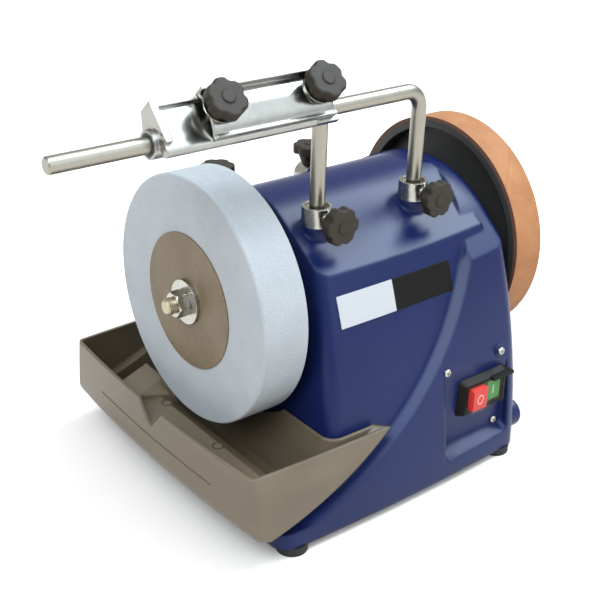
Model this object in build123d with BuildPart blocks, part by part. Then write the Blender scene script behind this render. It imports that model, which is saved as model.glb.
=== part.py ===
"""Wet sharpening machine: water-cooled grindstone, leather honing wheel, tool support and clamping jig.

The spindle runs along X, from the grindstone at -X to the honing wheel at +X. The switch is on the
front, which faces -Y. The feet stand on the plane Z = 0, under the middle of the machine.
"""
import os
from math import cos, radians, sin, sqrt, tan
from build123d import *

os.makedirs("parts", exist_ok=True)

# Clearances and fits
running_fit = 0.05
slip_gap = 0.3
seat_gap = 0.05

# Spindle, grindstone and honing wheel
spindle_height = 162.0
spindle_r = 6.0
spindle_edge = 1.0
stone_r = 100.0
stone_w = 40.0
stone_edge = 1.0
disc_r = 55.0
disc_t = 1.0
washer_r = 18.0
washer_t = 3.0
nut_flats = 19.0
nut_t = 10.0
left_stub = 7.0
right_stub = 3.5
flange_r = 25.0
flange_t = 8.0
spacer_r = 10.0
hone_inner_x = 264.0
hone_r = 100.0
hone_w = 30.0
leather_t = 3.5
hone_web_t = 7.0
hone_dish = 15.0
hone_rim_t = 6.0
hone_boss_r = 22.0

# Friction drive between motor and spindle
wheel_x = 101.0
tyre_w = 20.0
tyre_r = 65.0
tyre_t = 5.0
wheel_rim_t = 5.0
wheel_web_t = 6.0
wheel_hub_r = 14.0
wheel_hub_w = 26.0
roller_r = 5.6
roller_w = 24.0
motor_shaft_r = 4.0

# Motor and electrical parts
motor_r = 45.0
motor_can_l = 68.0
motor_gap = 10.0
motor_wall = 3.0
stator_l = 50.0
stator_t = 12.0
rotor_gap = 0.5
bracket_foot_y = 30.0
bell_r = 47.0
bell_t = 6.0
motor_screw_y = 24.0
motor_screw_drop = 30.0
bracket_t = 2.5
bracket_w = 78.0
bracket_foot = 14.0
bracket_rise = 18.0
capacitor_r = 15.0
capacitor_l = 62.0
capacitor_inset = 53.3
capacitor_x = 64.0
clip_t = 1.5
clip_w = 16.0
clip_ear = 12.0
block_l = 34.0
block_w = 18.0
block_h = 17.0
block_pitch = 22.0
block_x = 100.0
block_inset = 46.3

# Housing
wall = 3.0
base_bottom = 7.0
base_half = 138.3
base_left = -8.0
right_x = 253.0
corner_r = 14.0
body_left = 56.0
left_lean = 6.0
body_corner_r = 10.0
body_right_inset = 18.0
front_r = 571.0
front_centre_z = -17.0
front_step = 8.5
bow_r = 2280.0
bow_middle = 112.0
bow_half_angle = 7.0
envelope_spare = 20.0
crest = 75.8
roof_r = 65.0
roof_slope = 29.5
crest_fall_x = 210.0
crest_fall = 7.5
rim_crest = 73.0
rim_r = 106.0
rim_slope = 41.6
rim_edge_r = 8.0
arc_r = 416.0
arc_foot_x = -13.3
arc_top_x = 236.2
arc_top_rise = 56.1
arc_flare = 26.0
arc_flare_w = 43.3
arc_edge_w = 25.8
platform_z = 20.5
pocket_inset = 20.3

# Feet and floor of the housing
foot_r = 12.5
foot_h = 6.6
foot_inset_x = 17.5
foot_inset_y = 11.0
foot_boss_r = 10.5
foot_boss_top = 12.0
foot_core_r = 5.0
foot_core_h = 2.0
foot_head_h = 1.8
plate_t = 1.5
plate_gap = 0.5
post_screw_r = 5.0
post_screw_h = 16.0
base_screw_x = (70.0, 180.0)
m4_r = 2.0
m4_head_r = 4.0
m4_head_h = 2.6
m4_length = 12.0

# Spindle bearings
bush_r = 9.0
bush_l = 20.0
bearing_boss_r = 14.0

# Universal support bar and its four clamp collars
bar_r = 6.0
bar_y = -50.2
bar_rise = 151.2
bar_bend = 15.0
bar_foot_rise = 12.0
post_x = 84.3
post_spacing = 99.9
arm_overhang = 218.0
collar_r = 11.7
collar_h = 15.0
collar_mouth_r = 9.3
collar_mouth_h = 3.0
collar_rise = 62.0
boss_r = 11.5
boss_foot_rise = 26.0
rear_boss_rise = 41.0
rear_end_inset = 63.1
rear_boss_l = 29.2

# Star knobs and clamp studs
knob_r = 14.8
knob_h = 8.0
knob_lobes = 6
knob_scallop_r = 4.5
knob_scallop_depth = 1.8
knob_lobe_r = 3.4
knob_edge = 1.6
knob_neck_r = 7.5
knob_neck_taper = -20.0
knob_dome_r = 5.0
knob_dome_h = 0.8
stud_r = 3.95
stud_in_knob = 10.0
stud_tip_gap = 0.3
post_knob_gap = 4.8
post_neck_h = 8.0
rear_knob_gap = 0.6
rear_neck_h = 9.0

# Switch in its recess
recess_x = 160.5
recess_w = 77.0
recess_depth = 13.3
recess_low = -137.2
recess_high = -40.0
recess_slope = 4.0
recess_corner_r = 5.0
switch_x = 206.5
switch_drop = 91.5
bezel_w = 54.0
bezel_h = 34.0
bezel_t = 7.0
bezel_taper = 25.0
opening_gap = 2.5
enclosure_rim = 5.5
enclosure_d = 46.0
enclosure_wall = 2.0
bezel_r = 3.0
hood_reach = 11.0
hood_w = 24.0
hood_over = 1.5
hood_t = 2.5
switch_box_w = 44.0
switch_box_h = 28.0
switch_box_d = 34.0
button_w = 16.0
button_h = 19.0
button_pitch = 21.5
stop_reach = 11.5
start_reach = 5.5
button_tail = 9.0
button_stem = 5.0
cover_t = 0.8
cover_gap = 0.6
switch_screw_w = 63.0
switch_screw_h = 67.0
switch_screw_x = 195.5
switch_screw_drop = 94.0
switch_head_r = 3.4
terminal_w = 6.3
terminal_t = 0.8
terminal_l = 9.0

# Name plate and cable inlet
name_x = 70.0
name_w = 118.0
name_low = -2.5
name_high = 21.0
name_t = 0.5
inlet_inset = 22.3
inlet_drop = 136.5
inlet_r = 12.8
inlet_reach = 10.5
inlet_edge = 4.0
inlet_hole_r = 4.0

# Water trough
trough_wall = 2.5
trough_gap = 1.2
trough_proud = 3.0
trough_rim_drop = 82.0
trough_depth = 57.5
trough_lift = 18.0
trough_side_gap = 1.5
trough_left = -30.0
trough_bulge = 8.0
trough_corner_r = 6.0
trough_bottom_r = 14.0
trough_line_drop = 110.0
trough_line_w = 1.4
trough_line_depth = 0.5
trough_line_l = 164.0
spout_w = 34.0
spout_depth = 21.0
stone_cut_gap = 5.0
spout_r = 5.0
ledge_drop = 100.0
ledge_fold_x = -8.0
ledge_edge_x = 6.0
ledge_fall = 10.0
ledge_pocket_x = -26.0
ledge_pocket_inset = 6.0
dam_drop = 94.0
dam_wall_x = -36.5
dam_ridge_x = -26.0
dam_ridge_y = (35.4, 50.8)
dam_foot_y = (37.9, 27.6)
dam_far_y = (60.2, 78.1)
runner_y = 70.0
runner_w = 8.0
runner_gap = 0.4

# Clamping jig on the support bar
jig_tilt = 46.0
jig_left = -58.0
jig_w = 123.0
jig_lip_w = 19.0
jig_lip_back = 14.0
jig_lip_t = 4.5
jig_front = -16.0
jig_back = 22.0
jig_top = 15.0
jig_t = 8.0
jig_nose_r = 3.8
jig_bead_w = 5.0
jig_bead_h = 3.5
sleeve_r = 10.0
sleeve_l = 24.0
sleeve_left_x = -61.0
sleeve_right_x = 41.0
jig_bush_t = 2.0
jig_gusset_t = 3.0
clamp_left = -22.0
clamp_w = 102.0
clamp_lip = -13.4
clamp_valley = -10.6
clamp_back = 21.6
clamp_toe = 0.6
clamp_lip_h = 5.9
clamp_crown = 9.0
clamp_tail = 4.0
clamp_rib_h = 12.4
clamp_t = 2.4
jig_washer_r = 12.5
jig_washer_t = 1.2
jig_knob_x = (-13.0, 71.0)
jig_knob_place = 6.0
jig_knob_gap = 0.3
jig_neck_h = 4.85
jig_stud_r = 4.0
jig_stud_l = 24.0
jig_bore_l = 9.2
jig_hole_gap = 0.4

# Places worked out from the sizes above; x_stone puts the middle of the whole length at X = 0
left_reach = arm_overhang - post_x
right_reach = hone_inner_x + hone_w + washer_t + nut_t + right_stub
x_stone = (left_reach - right_reach) / 2
x_right = x_stone + right_x
x_left = x_stone + body_left
x_base_left = x_stone + base_left
x_posts = (x_stone + post_x, x_stone + post_x + post_spacing)
motor_z = spindle_height - tyre_r - roller_r - slip_gap
pocket_half = base_half - pocket_inset
arc_flare_from = base_half - arc_flare_w
arc_edge_y = base_half - arc_edge_w
rear_boss_end = base_half - rear_end_inset
rear_boss_start = rear_boss_end - rear_boss_l
recess_y = recess_depth - base_half
inlet_y = inlet_inset - base_half
capacitor_y = base_half - capacitor_inset
block_y = block_inset - base_half
ledge_pocket_y = ledge_pocket_inset - pocket_half
arc_foot = Vector(x_stone + arc_foot_x, 0, platform_z)
arc_top = Vector(x_stone + arc_top_x, 0, spindle_height + arc_top_rise)
arc_chord = arc_top - arc_foot
arc_middle = (arc_top + arc_foot) / 2
arc_back = sqrt((arc_r / arc_chord.length) ** 2 - 0.25)
arc_centre = arc_middle + Vector(-arc_chord.Z, 0, arc_chord.X) * arc_back
front_centre_y = sqrt(front_r**2 - (base_bottom - front_centre_z) ** 2) - base_half
bow_axis_y = bow_r - base_half
roof_centre_z = spindle_height + crest - roof_r
rim_centre_z = spindle_height + rim_crest - rim_r
envelope_low = base_bottom - envelope_spare
envelope_high = spindle_height + crest + envelope_spare
trough_rim_z = spindle_height - trough_rim_drop
trough_floor_z = trough_rim_z - trough_depth
arm_z = spindle_height + bar_rise
bar_bore_r = bar_r + running_fit
left_plane = Plane(
    origin=(x_left, 0, spindle_height),
    x_dir=(0, 1, 0),
    z_dir=(cos(radians(left_lean)), 0, -sin(radians(left_lean))),
)
crest_plane = Plane(
    origin=(x_stone + crest_fall_x, 0, spindle_height + crest),
    z_dir=(sin(radians(crest_fall)), 0, cos(radians(crest_fall))),
)


def half_depth(height, grow):
    """Distance from the middle plane to the curved front, at the middle of its bow."""
    return sqrt((front_r + grow) ** 2 - (height - front_centre_z) ** 2) - front_centre_y


def bow_loss(x):
    """How far the bowed front has fallen back at a place along X."""
    return (x - x_stone - bow_middle) ** 2 / (2 * bow_r)


def bowed_slab(grow):
    """Everything between the bowed, leaning front and back, grown outwards by a distance."""
    turn = radians(bow_half_angle)
    start = Plane(
        origin=(x_stone + bow_middle, bow_axis_y, 0),
        x_dir=(-sin(turn), -cos(turn), 0),
        z_dir=(-cos(turn), sin(turn), 0),
    )
    heights = (envelope_low, spindle_height / 2, envelope_high)
    edge = [(bow_axis_y + half_depth(z, grow), z) for z in heights]
    inner = bow_axis_y - base_half - corner_r
    with BuildPart() as form:
        with BuildSketch(start):
            with BuildLine():
                ThreePointArc(*edge)
                Polyline(edge[2], (inner, envelope_high), (inner, envelope_low), edge[0])
            make_face()
        revolve(
            axis=Axis((x_stone + bow_middle, bow_axis_y, 0), (0, 0, 1)),
            revolution_arc=2 * bow_half_angle,
        )
        mirror(about=Plane.XZ, mode=Mode.INTERSECT)
    return form.part


def roof_block(end_x, centre_z, ridge_r, slope_angle):
    """Everything under a round ridge with straight slopes, up to its right-hand end."""
    slope = radians(slope_angle)
    shoulder_y = ridge_r * sin(slope)
    shoulder_z = centre_z + ridge_r * cos(slope)
    eave_y = base_half + corner_r
    eave_z = shoulder_z - (eave_y - shoulder_y) * tan(slope)
    with BuildPart() as block:
        with BuildSketch(Plane.YZ.offset(end_x)):
            with BuildLine():
                ThreePointArc(
                    (-shoulder_y, shoulder_z),
                    (0, centre_z + ridge_r),
                    (shoulder_y, shoulder_z),
                )
                Polyline(
                    (shoulder_y, shoulder_z),
                    (eave_y, eave_z),
                    (eave_y, envelope_low),
                    (-eave_y, envelope_low),
                    (-eave_y, eave_z),
                    (-shoulder_y, shoulder_z),
                )
            make_face()
        extrude(amount=-2 * right_x)
    return block


def body_form(grow):
    """The recessed main body: leaning left face, front set back from the raised frame."""
    with BuildPart() as form:
        add(bowed_slab(grow - front_step))
        add(roof_block(x_right, roof_centre_z, roof_r + grow, roof_slope).part, mode=Mode.INTERSECT)
        split(bisect_by=left_plane.offset(-grow), keep=Keep.TOP)
        split(bisect_by=Plane.YZ.offset(x_right - body_right_inset + grow), keep=Keep.BOTTOM)
        tall = form.edges().filter_by(lambda e: e.bounding_box().size.Z > crest)
        left_corners = tall.filter_by(lambda e: e.center().X < x_left and abs(e.center().Y) > base_half / 2)
        fillet(left_corners, body_corner_r + grow)
        split(bisect_by=crest_plane.offset(grow), keep=Keep.BOTTOM)
    return form.part


def arc_form(arc_grow, pocket_grow):
    """Room for the trough: a drum flared to front and back, whose edge is the arc, and a deep pocket."""
    reach = base_half + corner_r
    lean = tan(radians(arc_flare))
    drum_r = arc_r + arc_grow - (arc_edge_y - arc_flare_from) * lean
    flare_r = arc_r + arc_grow + (reach - arc_edge_y) * lean
    centre = Plane(origin=arc_centre, x_dir=(0, 1, 0), z_dir=(1, 0, 0))
    pocket_left = x_base_left - corner_r - base_half
    with BuildPart() as form:
        with BuildSketch(centre):
            with BuildLine():
                Polyline(
                    (-reach, 0),
                    (-reach, flare_r),
                    (-arc_flare_from, drum_r),
                    (arc_flare_from, drum_r),
                    (reach, flare_r),
                    (reach, 0),
                    close=True,
                )
            make_face()
        revolve(axis=Axis(centre.origin, (0, 1, 0)))
        split(bisect_by=Plane.XY.offset(platform_z - pocket_grow), keep=Keep.TOP)
        block_on(
            Plane.XY.offset(platform_z - pocket_grow),
            ((pocket_left + x_left) / 2, 0),
            x_left - pocket_left,
            2 * (pocket_half + pocket_grow),
            spindle_height - platform_z,
        )
    return form.part


def rim_roof(grow):
    """The roof of the raised frame, rounded over along its right-hand edge."""
    end_x = x_right + grow
    block = roof_block(end_x, rim_centre_z, rim_r + grow, rim_slope)
    with block:
        end_edges = block.edges().filter_by(lambda e: e.bounding_box().min.X > end_x - slip_gap)
        fillet(end_edges.filter_by(lambda e: e.center().Z > spindle_height / 2), rim_edge_r + grow)
    return block.part


def frame_form(grow):
    """The raised frame: right rim and base, bounded at the upper left by one large arc."""
    with BuildPart() as form:
        add(bowed_slab(grow))
        split(bisect_by=Plane.YZ.offset(x_base_left - grow), keep=Keep.TOP)
        split(bisect_by=Plane.YZ.offset(x_right + grow), keep=Keep.BOTTOM)
        tall = form.edges().filter_by(lambda e: e.bounding_box().size.Z > spindle_height)
        at_left = tall.filter_by(lambda e: e.bounding_box().max.X < x_base_left - grow + slip_gap)
        at_right = tall.filter_by(lambda e: e.bounding_box().min.X > x_right + grow - slip_gap)
        fillet(at_left + at_right, corner_r + grow)
        add(rim_roof(grow), mode=Mode.INTERSECT)
        add(arc_form(-grow, -grow), mode=Mode.SUBTRACT)
    return form.part


def cylinder_on(plane, place, radius, length, mode=Mode.ADD):
    """A round bar or bore that starts on a plane and runs along its normal."""
    with BuildSketch(plane) as outline:
        with Locations(place):
            Circle(radius)
    extrude(outline.sketch, amount=length, mode=mode)


def bore_on(plane, place, radius, length):
    """A round bore that starts on a plane and runs along its normal."""
    cylinder_on(plane, place, radius, length, mode=Mode.SUBTRACT)


def block_on(plane, place, width, height, length, mode=Mode.ADD):
    """A rectangular block or cut that starts on a plane and runs along its normal."""
    with BuildSketch(plane) as outline:
        with Locations(place):
            Rectangle(width, height)
    extrude(outline.sketch, amount=length, mode=mode)


def star_knob(plane, neck_h, bore_r, bore_l):
    """A star knob: its neck starts on the plane, its cap points along the normal, its bore is blind."""
    with BuildPart() as knob:
        with BuildSketch(plane.offset(neck_h)) as star:
            Circle(knob_r)
            with PolarLocations(knob_r + knob_scallop_r - knob_scallop_depth, knob_lobes):
                Circle(knob_scallop_r, mode=Mode.SUBTRACT)
            fillet(star.vertices(), knob_lobe_r)
        extrude(amount=knob_h)
        cap_top = knob.faces().sort_by(Axis(plane.origin, plane.z_dir))[-1]
        fillet(cap_top.edges(), knob_edge)
        cylinder_on(plane.offset(neck_h + knob_h), (0, 0), knob_dome_r, knob_dome_h)
        with BuildSketch(plane) as neck:
            Circle(knob_neck_r)
        extrude(neck.sketch, amount=neck_h, taper=knob_neck_taper)
        bore_on(plane, (0, 0), bore_r, bore_l)
    return knob


def pan_screws(planes, length, head_r=m4_head_r):
    """Pan-head screws: each head stands on its plane and the shank runs back behind it."""
    with BuildPart() as screws:
        for plane in planes:
            cylinder_on(plane, (0, 0), head_r, m4_head_h)
            cylinder_on(plane, (0, 0), m4_r, -length)
    return screws


def under_plate(place):
    """Plane for a screw head below the floor plate, facing down."""
    return Plane(origin=(place[0], place[1], base_bottom), z_dir=(0, 0, -1))


def finish(piece, name):
    """Label a finished piece and write it."""
    piece.part.label = name
    export_step(piece.part, f"parts/{name}.step")


# Places of the feet and of the screws along the base
foot_x = (x_base_left + foot_inset_x, x_right - foot_inset_x)
foot_places = []
for x in foot_x:
    foot_y = base_half - bow_loss(x) - foot_inset_y
    foot_places += [(x, -foot_y), (x, foot_y)]
base_screw_places = []
for offset in base_screw_x:
    screw_y = base_half - bow_loss(x_stone + offset) - post_screw_r - wall / 2
    base_screw_places += [(x_stone + offset, -screw_y), (x_stone + offset, screw_y)]

# Switch places shared by the recess, the switch and its screws
recess_front = Plane.XZ.offset(-recess_y)
switch_place = (x_stone + switch_x, spindle_height - switch_drop)
stop_place = (switch_place[0] - button_pitch / 2, switch_place[1])
start_place = (switch_place[0] + button_pitch / 2, switch_place[1])
switch_screw_places = []
for side in (-1, 1):
    for level in (-1, 1):
        screw_x = x_stone + switch_screw_x + side * switch_screw_w / 2
        screw_z = spindle_height - switch_screw_drop + level * switch_screw_h / 2
        switch_screw_places.append((screw_x, screw_z))
recess_middle = x_stone + recess_x + recess_w / 2
recess_floor_z = spindle_height + recess_low
recess_top_z = spindle_height + recess_high

# Places of bosses, bushes and collars
plate_top = base_bottom + plate_t
m4_hole_r = m4_r + seat_gap
stud_hole_r = stud_r + running_fit
bush_bore_r = bush_r + seat_gap
x_left_bush = x_left - wall / 2
x_right_bush = x_right + wall / 2 - bush_l
runner_l = body_left - base_left - 2 * corner_r
inlet_place = (inlet_y, spindle_height - inlet_drop)
collar_base_z = spindle_height + collar_rise
seat_r = collar_r + slip_gap
post_stud_z = collar_base_z + collar_h / 2
rear_z = spindle_height + rear_boss_rise
rear_stud_y = rear_boss_end + collar_h / 2
rear_start = Plane.XZ.offset(-rear_boss_start)
rear_end = Plane.XZ.offset(-rear_boss_end)
rear_mouth = Plane.XZ.offset(-rear_boss_end - collar_h)
button_room_w = button_w + 2 * slip_gap
button_room_h = button_h + 2 * slip_gap
opening_w = button_pitch + button_w + 2 * opening_gap
opening_h = button_h + 2 * opening_gap
switch_hole_w = switch_box_w + 2 * slip_gap
switch_hole_h = switch_box_h + 2 * slip_gap
x_motor = x_stone + wheel_x + tyre_w + motor_gap
x_bracket_end = x_motor + 2 * bracket_t + 2 * bell_t + motor_can_l
motor_foot_places = []
for x in (x_motor + bracket_foot, x_bracket_end - bracket_foot):
    motor_foot_places += [(x, -bracket_foot_y), (x, bracket_foot_y)]
clip_x = x_stone + capacitor_x + capacitor_l / 2
clip_r = capacitor_r + seat_gap + clip_t
clip_places = [(clip_x, capacitor_y + side * (clip_r + clip_ear / 2)) for side in (-1, 1)]
block_place = (x_stone + block_x, block_y)

# Places along the spindle and the motor
on_spindle = (0, spindle_height)
on_motor = (0, motor_z)
shaft_hole_r = spindle_r + seat_gap
x_stone_washer = x_stone - disc_t - washer_t
x_spindle_left = x_stone_washer - nut_t - left_stub
x_spindle_right = x_stone + right_reach
x_tyre = x_stone + wheel_x
x_hone = x_stone + hone_inner_x
x_can = x_motor + bracket_t + bell_t
x_stator = x_can + motor_can_l / 2 - stator_l / 2
x_roller = x_tyre + tyre_w / 2 - roller_w / 2
rotor_r = motor_r - motor_wall - stator_t
motor_screw_places = [(side * motor_screw_y, motor_z - motor_screw_drop) for side in (-1, 1)]
capacitor_place = (capacitor_y, plate_top + clip_r)

# Housing: raised frame, cut off at its lower edge
with BuildPart() as frame_outer:
    add(frame_form(0))
    split(bisect_by=Plane.XY.offset(base_bottom), keep=Keep.TOP)

# Housing: the tray that forms the switch recess, a slice of the raised frame
with BuildPart() as recess_tray:
    add(frame_outer.part)
    block_on(
        recess_front.offset(-wall),
        (recess_middle, (recess_floor_z + recess_top_z) / 2),
        recess_w + 2 * wall,
        recess_top_z - recess_floor_z + 2 * wall,
        base_half,
        mode=Mode.INTERSECT,
    )

# Housing: the cups that let the rear collars into the roof, trimmed to the roof
with BuildPart() as rear_cups:
    for x in x_posts:
        cylinder_on(rear_end.offset(wall), (x, rear_z), seat_r + wall, -2 * collar_h)
    add(body_form(0), mode=Mode.INTERSECT)

# Housing: the room cut for the switch, with a sloping lower edge and rounded corners
with BuildPart() as recess_room:
    with BuildSketch(Plane.YZ.offset(x_stone + recess_x)):
        with BuildLine():
            Polyline(
                (recess_y, recess_floor_z + recess_slope),
                (recess_y, recess_top_z),
                (-2 * base_half, recess_top_z),
                (-2 * base_half, recess_floor_z - recess_slope),
                (-base_half, recess_floor_z - recess_slope),
                close=True,
            )
        make_face()
    extrude(amount=recess_w)
    corners = recess_room.edges().filter_by(lambda e: e.bounding_box().size.X < slip_gap)
    corners = corners.filter_by(lambda e: e.bounding_box().size.Y > recess_depth / 2)
    fillet(corners, recess_corner_r)

# Housing: one moulded shell, open below, with bosses for every shaft, post, foot and screw
with BuildPart() as housing:
    add(body_form(0))
    split(bisect_by=Plane.XY.offset(base_bottom), keep=Keep.TOP)
    add(frame_outer.part)
    add(body_form(-wall), mode=Mode.SUBTRACT)
    add(frame_form(-wall), mode=Mode.SUBTRACT)
    add(recess_tray.part)
    for x in x_posts:
        boss_foot = Plane.XY.offset(spindle_height + boss_foot_rise)
        cylinder_on(boss_foot, (x, bar_y), boss_r, collar_rise - boss_foot_rise)
        cylinder_on(rear_start, (x, rear_z), boss_r, -rear_boss_l)
    add(rear_cups.part)
    cylinder_on(Plane.YZ.offset(x_left_bush), on_spindle, bearing_boss_r, bush_l)
    cylinder_on(Plane.YZ.offset(x_right_bush), on_spindle, bearing_boss_r, bush_l)
    for place in foot_places:
        cylinder_on(Plane.XY.offset(foot_h), place, foot_boss_r, base_bottom + foot_boss_top - foot_h)
    for place in base_screw_places:
        cylinder_on(Plane.XY.offset(plate_top), place, post_screw_r, post_screw_h)
    for place in switch_screw_places:
        cylinder_on(recess_front, place, post_screw_r, -2 * wall)
    for side in (-1, 1):
        block_on(
            Plane.XY.offset(platform_z - wall),
            (x_base_left + runner_l / 2 + wall, side * runner_y),
            runner_l,
            runner_w,
            trough_floor_z - runner_gap - platform_z + wall,
        )
    inlet_boss = Plane.YZ.offset(x_right - wall)
    cylinder_on(inlet_boss, inlet_place, inlet_r, wall + inlet_reach)
    inlet_rim = housing.faces().filter_by(Axis.X).sort_by(Axis.X)[-1].edges()
    fillet(inlet_rim, inlet_edge)
    for x in x_posts:
        bore_on(Plane.XY.offset(spindle_height), (x, bar_y), bar_bore_r, collar_rise)
        bore_on(rear_start, (x, rear_z), bar_bore_r, -rear_boss_l)
        bore_on(Plane.XY.offset(collar_base_z), (x, bar_y), seat_r, collar_h)
        bore_on(rear_end, (x, rear_z), seat_r, -collar_h)
    bore_on(Plane.YZ.offset(x_left_bush - bush_l), on_spindle, bush_bore_r, 2 * bush_l)
    bore_on(Plane.YZ.offset(x_right_bush), on_spindle, bush_bore_r, 2 * bush_l)
    for place in foot_places:
        bore_on(Plane.XY.offset(foot_h), place, m4_hole_r, m4_length)
    for place in base_screw_places:
        bore_on(Plane.XY.offset(plate_top), place, m4_hole_r, m4_length)
    bore_on(inlet_boss.offset(-corner_r), inlet_place, inlet_hole_r, 2 * corner_r + inlet_reach)
    add(recess_room.part, mode=Mode.SUBTRACT)
    hole_start = recess_front.offset(-2 * wall)
    block_on(hole_start, switch_place, switch_hole_w, switch_hole_h, 3 * wall, mode=Mode.SUBTRACT)
    for place in switch_screw_places:
        bore_on(recess_front.offset(-m4_length), place, m4_hole_r, m4_length + wall)
finish(housing, "housing")

# Floor plate: closes the housing from below and carries the motor
with BuildPart() as base_plate:
    add(frame_form(-wall - plate_gap))
    block_on(Plane.XY.offset(base_bottom), (0, 0), 2 * right_x, 3 * base_half, plate_t, mode=Mode.INTERSECT)
    for place in foot_places:
        bore_on(Plane.XY.offset(base_bottom), place, foot_boss_r + plate_gap, plate_t)
    for place in base_screw_places + motor_foot_places + clip_places + [block_place]:
        bore_on(Plane.XY.offset(base_bottom), place, m4_hole_r, plate_t)
finish(base_plate, "base_plate")

base_screws = pan_screws([under_plate(place) for place in base_screw_places], m4_length)
finish(base_screws, "base_screws")

# Rubber feet, each held by a screw sunk in its middle
with BuildPart() as feet:
    for place in foot_places:
        cylinder_on(Plane.XY, place, foot_r, foot_h)
        bore_on(Plane.XY, place, foot_core_r, foot_core_h)
        bore_on(Plane.XY, place, m4_hole_r, foot_h)
finish(feet, "feet")

with BuildPart() as foot_screws:
    for place in foot_places:
        cylinder_on(Plane.XY.offset(foot_core_h - foot_head_h), place, m4_head_r, foot_head_h)
        cylinder_on(Plane.XY.offset(foot_core_h), place, m4_r, m4_length)
finish(foot_screws, "foot_screws")

# Clamp collars: turned rings on the four bosses, bored for the bar and cross-drilled for a stud
with BuildPart() as post_collars:
    for x in x_posts:
        top = Plane.XY.offset(collar_base_z)
        cylinder_on(top, (x, bar_y), collar_r, collar_h)
        bore_on(top, (x, bar_y), bar_bore_r, collar_h)
        bore_on(top.offset(collar_h - collar_mouth_h), (x, bar_y), collar_mouth_r, collar_mouth_h)
        bore_on(Plane.XZ.offset(-bar_y), (x, post_stud_z), stud_hole_r, 2 * collar_r)
finish(post_collars, "post_collars")

with BuildPart() as rear_collars:
    for x in x_posts:
        cylinder_on(rear_end, (x, rear_z), collar_r, -collar_h)
        bore_on(rear_end, (x, rear_z), bar_bore_r, -collar_h)
        bore_on(rear_mouth, (x, rear_z), collar_mouth_r, collar_mouth_h)
        bore_on(Plane.XY.offset(rear_z), (x, rear_stud_y), stud_hole_r, 2 * collar_r)
finish(rear_collars, "rear_collars")

# Spindle bushes, pressed into the left and right walls
with BuildPart() as spindle_bushes:
    for x in (x_left_bush, x_right_bush):
        cylinder_on(Plane.YZ.offset(x), on_spindle, bush_r, bush_l)
        bore_on(Plane.YZ.offset(x), on_spindle, spindle_r + running_fit, bush_l)
finish(spindle_bushes, "spindle_bushes")

# Spindle: one steel shaft through both bushes
with BuildPart() as spindle:
    cylinder_on(Plane.YZ.offset(x_spindle_left), on_spindle, spindle_r, x_spindle_right - x_spindle_left)
    chamfer(spindle.edges(), spindle_edge)
finish(spindle, "spindle")

# Inner flange: backs the stone, with a spacer neck that runs up to the left bush
with BuildPart() as inner_flange:
    cylinder_on(Plane.YZ.offset(x_stone + stone_w), on_spindle, flange_r, flange_t)
    spacer_l = x_left_bush - slip_gap - x_stone - stone_w
    cylinder_on(Plane.YZ.offset(x_stone + stone_w), on_spindle, spacer_r, spacer_l)
    bore_on(Plane.YZ.offset(x_stone + stone_w), on_spindle, shaft_hole_r, body_left)
finish(inner_flange, "inner_flange")

# Grindstone: solid wheel with broken edges
with BuildPart() as grindstone:
    cylinder_on(Plane.YZ.offset(x_stone), on_spindle, stone_r, stone_w)
    chamfer(grindstone.edges(), stone_edge)
    bore_on(Plane.YZ.offset(x_stone), on_spindle, shaft_hole_r, stone_w)
finish(grindstone, "grindstone")

# Plain metal disc, washer and nut that hold the stone
with BuildPart() as stone_disc:
    cylinder_on(Plane.YZ.offset(x_stone - disc_t), on_spindle, disc_r, disc_t)
    bore_on(Plane.YZ.offset(x_stone - disc_t), on_spindle, shaft_hole_r, disc_t)
finish(stone_disc, "stone_disc")

with BuildPart() as stone_washer:
    cylinder_on(Plane.YZ.offset(x_stone_washer), on_spindle, washer_r, washer_t)
    bore_on(Plane.YZ.offset(x_stone_washer), on_spindle, shaft_hole_r, washer_t)
finish(stone_washer, "stone_washer")


def hex_nut(x):
    """A hexagon nut on the spindle, starting at x."""
    with BuildPart() as nut:
        with BuildSketch(Plane.YZ.offset(x)):
            with Locations(on_spindle):
                RegularPolygon(nut_flats / 2, 6, major_radius=False)
        extrude(amount=nut_t)
        bore_on(Plane.YZ.offset(x), on_spindle, shaft_hole_r, nut_t)
    return nut


stone_nut = hex_nut(x_stone_washer - nut_t)
finish(stone_nut, "stone_nut")

# Drive wheel: hub, web and rim, with a rubber tyre that the motor roller turns
with BuildPart() as drive_wheel:
    cylinder_on(Plane.YZ.offset(x_tyre), on_spindle, tyre_r - tyre_t, tyre_w)
    recess = tyre_w / 2 - wheel_web_t / 2
    for x in (x_tyre, x_tyre + tyre_w - recess):
        bore_on(Plane.YZ.offset(x), on_spindle, tyre_r - tyre_t - wheel_rim_t, recess)
    x_hub = x_tyre + tyre_w / 2 - wheel_hub_w / 2
    cylinder_on(Plane.YZ.offset(x_hub), on_spindle, wheel_hub_r, wheel_hub_w)
    bore_on(Plane.YZ.offset(x_hub), on_spindle, shaft_hole_r, wheel_hub_w)
finish(drive_wheel, "drive_wheel")

with BuildPart() as drive_tyre:
    cylinder_on(Plane.YZ.offset(x_tyre), on_spindle, tyre_r, tyre_w)
    bore_on(Plane.YZ.offset(x_tyre), on_spindle, tyre_r - tyre_t + seat_gap, tyre_w)
finish(drive_tyre, "drive_tyre")

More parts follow.
